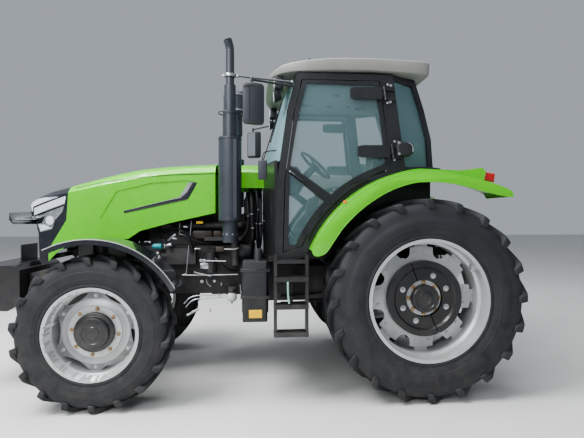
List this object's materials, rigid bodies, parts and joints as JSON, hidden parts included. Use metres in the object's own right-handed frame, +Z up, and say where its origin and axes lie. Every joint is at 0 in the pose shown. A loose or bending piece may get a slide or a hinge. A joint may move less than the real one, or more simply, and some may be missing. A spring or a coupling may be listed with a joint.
{
  "type": "farm tractor",
  "caption": "Farm tractor with a glazed cab, tilting hood, steered front wheels, side stacks, opening doors and a rear linkage.",
  "frame": {"origin": "on the ground, in the middle of the length and the width", "axes": "+X forward, +Y to the tractor's left, +Z up"},
  "size_m": [4.9998, 2.084, 3.0938],
  "materials": {
    "tyre": "dull black with road dust",
    "rim_silver": "satin silver",
    "black_iron": "satin black paint",
    "chassis_black": "satin dark grey paint",
    "engine_grey": "dull grey",
    "steel": "bare",
    "filter_white": "satin",
    "green_paint": "gloss lime green",
    "gloss_black": "gloss",
    "cab_black": "satin",
    "slate_paint": "satin",
    "roof_beige": "satin",
    "tinted_glass": "teal tint",
    "lamp_lens": "clear",
    "tank_black": "fine grain",
    "seat_fabric": "woven"
  },
  "bodies": {
    "chassis": {"rear_axle_housing": "chassis_black", "gearbox_housing": "chassis_black", "engine_block": "engine_grey", "engine_pipes": "steel", "engine_filters": "filter_white", "radiator": "chassis_black", "front_frame": "chassis_black", "front_weights": "black_iron", "front_axle_beam": "chassis_black", "rear_cowl": "green_paint", "exhaust_stack": "slate_paint", "intake_stack": "slate_paint", "cab_frame": "cab_black", "cab_floor": "cab_black", "cab_roof": "roof_beige", "windscreen": "tinted_glass", "rear_glass": "tinted_glass", "rear_fenders": "green_paint", "lamps": "lamp_lens", "boarding_steps": "cab_black", "side_tank": "tank_black", "fuel_tank": "tank_black", "mirrors": "tank_black", "dashboard": "tank_black", "seat": "seat_fabric", "seat_base": "tank_black", "drawbar": "chassis_black", "top_link": "steel"},
    "hood": {"hood_shell": "green_paint", "hood_nose": "gloss_black", "headlamps": "lamp_lens"},
    "door_left": {"door_frame_left": "cab_black", "door_glass_left": "tinted_glass"},
    "door_right": {"door_frame_right": "cab_black", "door_glass_right": "tinted_glass"},
    "steer_left": {"knuckle_left": "chassis_black", "front_guard_left": "gloss_black"},
    "steer_right": {"knuckle_right": "chassis_black", "front_guard_right": "gloss_black"},
    "wheel_front_left": {"front_tyre_left": "tyre", "front_rim_left": "rim_silver"},
    "wheel_front_right": {"front_tyre_right": "tyre", "front_rim_right": "rim_silver"},
    "wheel_rear_left": {"rear_tyre_left": "tyre", "rear_rim_left": "rim_silver", "wheel_weight_left": "black_iron"},
    "wheel_rear_right": {"rear_tyre_right": "tyre", "rear_rim_right": "rim_silver", "wheel_weight_right": "black_iron"},
    "steering_wheel": {"steering_wheel": "tank_black"},
    "lift_arms": {"lift_arms": "chassis_black"},
    "lift_rods": {"lift_rods": "steel"},
    "lower_links": {"lower_links": "chassis_black"}
  },
  "joints": [
    {"name": "steer_left", "type": "hinge", "parent": "chassis", "child": "steer_left", "pos_m": [1.25, 0.62, 0.61], "axis": [0, 0, 1], "range_deg": [-35, 35]},
    {"name": "steer_right", "type": "hinge", "parent": "chassis", "child": "steer_right", "pos_m": [1.25, -0.62, 0.61], "axis": [0, 0, 1], "range_deg": [-35, 35]},
    {"name": "spin_front_left", "type": "hinge", "parent": "steer_left", "child": "wheel_front_left", "pos_m": [1.25, 0.8, 0.616], "axis": [0, 1, 0], "continuous": true},
    {"name": "spin_front_right", "type": "hinge", "parent": "steer_right", "child": "wheel_front_right", "pos_m": [1.25, -0.8, 0.616], "axis": [0, 1, 0], "continuous": true},
    {"name": "spin_rear_left", "type": "hinge", "parent": "chassis", "child": "wheel_rear_left", "pos_m": [-1.45, 0.8, 0.845], "axis": [0, 1, 0], "continuous": true},
    {"name": "spin_rear_right", "type": "hinge", "parent": "chassis", "child": "wheel_rear_right", "pos_m": [-1.45, -0.8, 0.845], "axis": [0, 1, 0], "continuous": true},
    {"name": "door_left_hinge", "type": "hinge", "parent": "chassis", "child": "door_left", "pos_m": [-1.192, 0.808, 2.09], "axis": [0.115, -0.0654, 0.9912], "range_deg": [0, 75]},
    {"name": "door_right_hinge", "type": "hinge", "parent": "chassis", "child": "door_right", "pos_m": [-1.192, -0.808, 2.09], "axis": [-0.115, -0.0654, -0.9912], "range_deg": [0, 75]},
    {"name": "hood_lift", "type": "hinge", "parent": "chassis", "child": "hood", "pos_m": [0.328, 0, 2.012], "axis": [0, -1, 0], "range_deg": [0, 50]},
    {"name": "steering_wheel_turn", "type": "hinge", "parent": "chassis", "child": "steering_wheel", "pos_m": [-0.64, 0, 2.0553], "axis": [-0.6749, 0, 0.7379], "range_deg": [-700, 700]},
    {"name": "lift_arm_swing", "type": "hinge", "parent": "chassis", "child": "lift_arms", "pos_m": [-1.71, 0, 1.205], "axis": [0, 1, 0], "range_deg": [-8, 30]},
    {"name": "lower_link_swing", "type": "hinge", "parent": "chassis", "child": "lower_links", "pos_m": [-1.71, 0, 0.59], "axis": [0, 1, 0], "range_deg": [-8, 30]},
    {"name": "lift_rod_swing", "type": "hinge", "parent": "lift_arms", "child": "lift_rods", "pos_m": [-2.10781, 0, 1.16319], "axis": [0, 1, 0], "range_deg": [-30, 8]}
  ],
  "couplings": [
    {"joint": "steer_right", "follows": "steer_left", "ratio": 1},
    {"joint": "steering_wheel_turn", "follows": "steer_left", "ratio": 20},
    {"joint": "lower_link_swing", "follows": "lift_arm_swing", "ratio": 1},
    {"joint": "lift_rod_swing", "follows": "lift_arm_swing", "ratio": -1}
  ]
}
